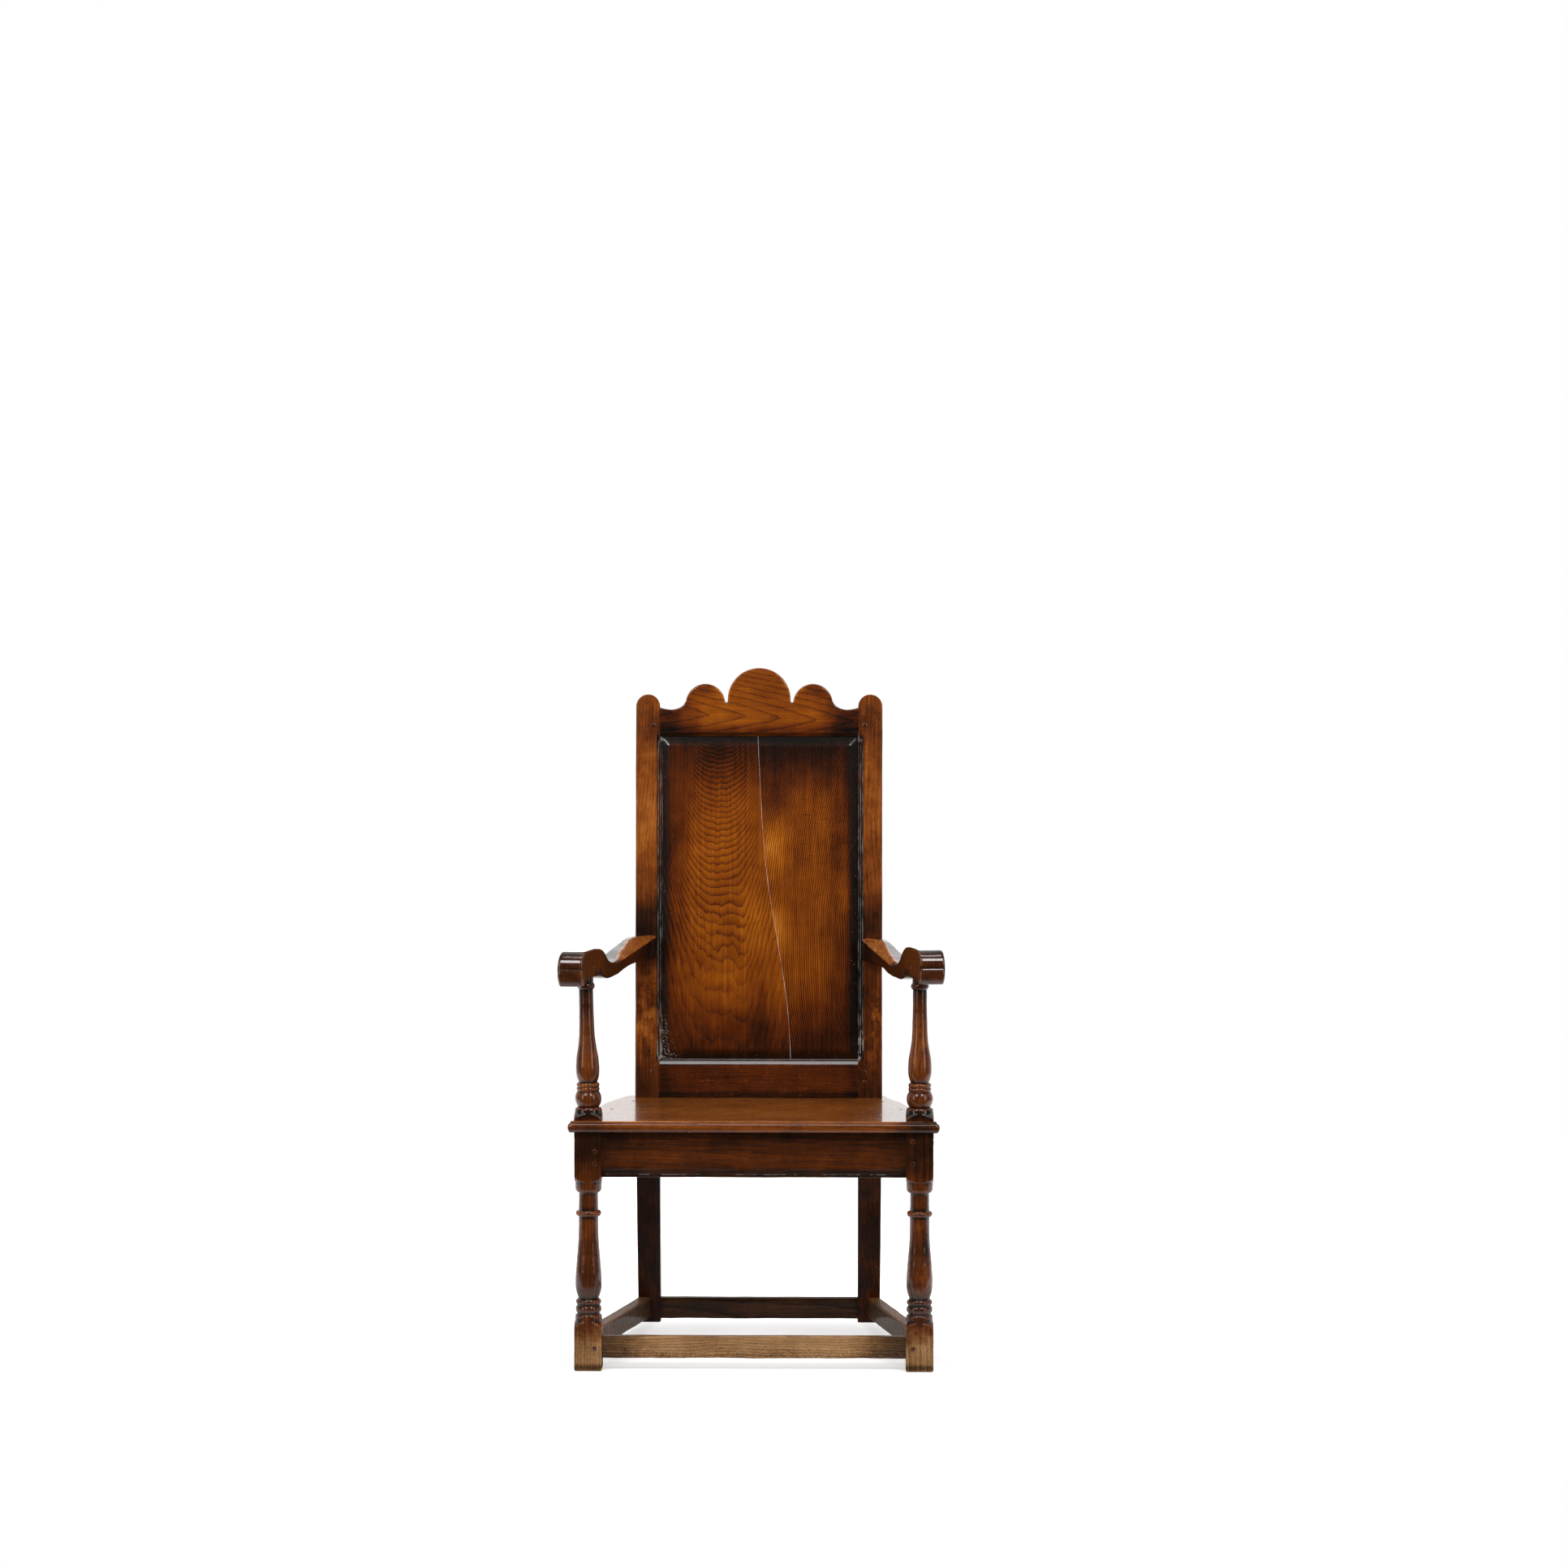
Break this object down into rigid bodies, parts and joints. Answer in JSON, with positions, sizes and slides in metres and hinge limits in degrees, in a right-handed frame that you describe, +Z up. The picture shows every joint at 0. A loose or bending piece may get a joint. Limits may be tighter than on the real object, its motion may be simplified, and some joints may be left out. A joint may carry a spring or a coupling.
{
  "type": "wainscot chair",
  "caption": "Joined oak armchair with turned front posts, a scalloped crest rail over a fielded back panel, shaped arms and a plank seat.",
  "frame": {"origin": "on the floor, in the middle of the chair's bounding box", "axes": "+X towards the sitter's left, -Y the way the sitter faces, +Z up"},
  "size_m": [0.6683, 0.5572, 1.2006],
  "materials": {
    "frame": "old oak, dark red-brown wax polish",
    "panel": "old oak, golden brown wax polish, dark at the margins",
    "seat": "old oak, high wax polish, worn light at the front edge",
    "stretchers": "worn oak, dry light brown with dark flecks",
    "pegs": "riven oak pegs, dark end grain"
  },
  "bodies": {
    "root": {"arm_left": "frame", "arm_right": "frame", "back_panel_left": "panel", "back_panel_right": "panel", "crest_rail": "frame", "front_post_left": "frame", "front_post_right": "frame", "front_seat_rail": "frame", "front_stretcher": "stretchers", "lower_back_rail": "frame", "pegs_arms": "pegs", "pegs_crest_rail": "pegs", "pegs_front_seat_rail": "pegs", "pegs_front_stretcher": "pegs", "pegs_lower_back_rail": "pegs", "pegs_rear_seat_rail": "pegs", "pegs_rear_stretcher": "pegs", "pegs_side_seat_rails": "pegs", "pegs_side_stretchers": "pegs", "rear_post_left": "frame", "rear_post_right": "frame", "rear_seat_rail": "frame", "rear_stretcher": "stretchers", "seat_board": "seat", "seat_pegs": "pegs", "side_seat_rail_left": "frame", "side_seat_rail_right": "frame", "side_stretcher_left": "stretchers", "side_stretcher_right": "stretchers"}
  },
  "joints": []
}
